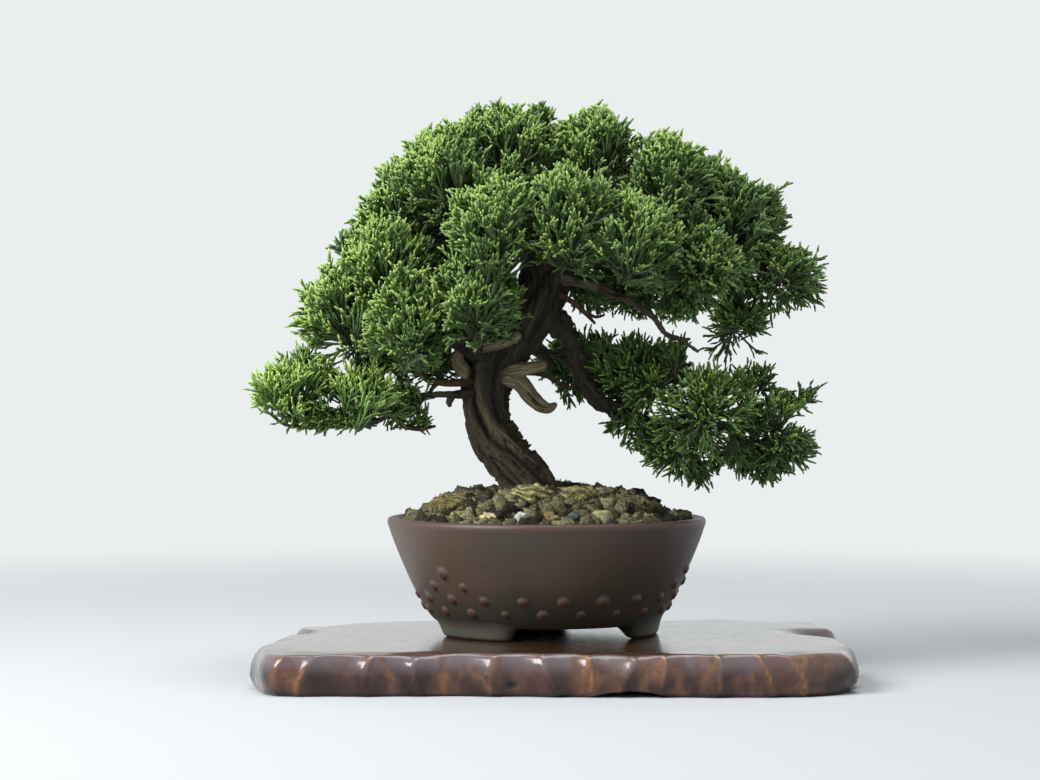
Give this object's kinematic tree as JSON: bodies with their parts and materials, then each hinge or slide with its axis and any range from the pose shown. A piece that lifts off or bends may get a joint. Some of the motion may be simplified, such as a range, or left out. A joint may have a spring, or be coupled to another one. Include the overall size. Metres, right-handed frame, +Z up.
{
  "type": "bonsai tree in a pot",
  "caption": "Small cascading-crowned juniper bonsai with a twisted trunk and deadwood, planted in a round footed clay pot with studs, on a carved wooden slab stand.",
  "frame": {"origin": "on the flat underside of the stand, straight below the axis of the pot", "axes": "+Z up, -Y toward the viewer's side of the tree, +X to the viewer's right; the object is least deep along Y"},
  "size_m": [0.2506, 0.1596, 0.2419],
  "materials": {
    "lacquered_wood": "dark brown lacquered wood, glossy, amber on the ridges",
    "stoneware": "unglazed brown-grey stoneware, satin, redder on the stud tips and rim",
    "screen_plastic": "matt plastic mesh",
    "clip_wire": "bare aluminium wire",
    "tie_wire": "bare aluminium wire",
    "soil": "matt baked-clay and pumice grains, dark olive brown",
    "moss": "soft matt moss, olive to yellow-green",
    "pebble": "matt weathered stone, cream to slate",
    "bark": "rough twisted bark, grey-olive dead wood on the stubs",
    "foliage": "soft waxy scale foliage, deep green with yellow-green tips"
  },
  "bodies": {
    "root": {"display_stand": "lacquered_wood", "pot": "stoneware", "drain_screen_left": "screen_plastic", "drain_screen_right": "screen_plastic", "screen_clip_left": "clip_wire", "screen_clip_right": "clip_wire", "anchor_wire": "tie_wire", "soil_bed": "soil", "moss_left": "moss", "moss_front": "moss", "moss_right": "moss", "moss_mound": "moss", "moss_back": "moss", "stone_1": "pebble", "stone_2": "pebble", "stone_3": "pebble", "stone_4": "pebble", "stone_5": "pebble", "stone_6": "pebble", "stone_7": "pebble", "stone_8": "pebble", "trunk": "bark", "branch_low_left": "bark", "branch_left": "bark", "branch_upper_left": "bark", "branch_low_right": "bark", "branch_right": "bark", "branch_upper_right": "bark", "branch_pale_right": "bark", "branch_back_low": "bark", "branch_back": "bark", "branch_front": "bark", "pad_low_left_tip": "foliage", "pad_low_left_middle": "foliage", "pad_low_left_inner": "foliage", "pad_left_tip": "foliage", "pad_left_middle": "foliage", "pad_left_front": "foliage", "pad_centre_left_front": "foliage", "pad_left_shoulder": "foliage", "pad_left_crown": "foliage", "pad_apex_left": "foliage", "pad_apex_right": "foliage", "pad_front_crown_left": "foliage", "pad_front_crown_right": "foliage", "pad_right_crown": "foliage", "pad_front_right": "foliage", "pad_right_shoulder": "foliage", "pad_right_front_low": "foliage", "pad_right_tip": "foliage", "pad_right_hanging": "foliage", "pad_right_under": "foliage", "pad_low_right_upper": "foliage", "pad_low_right_tip": "foliage", "pad_low_right_middle": "foliage", "pad_low_right_low": "foliage", "pad_back_low": "foliage", "pad_back_left": "foliage", "pad_back_right": "foliage", "pad_back_top": "foliage"}
  },
  "joints": []
}
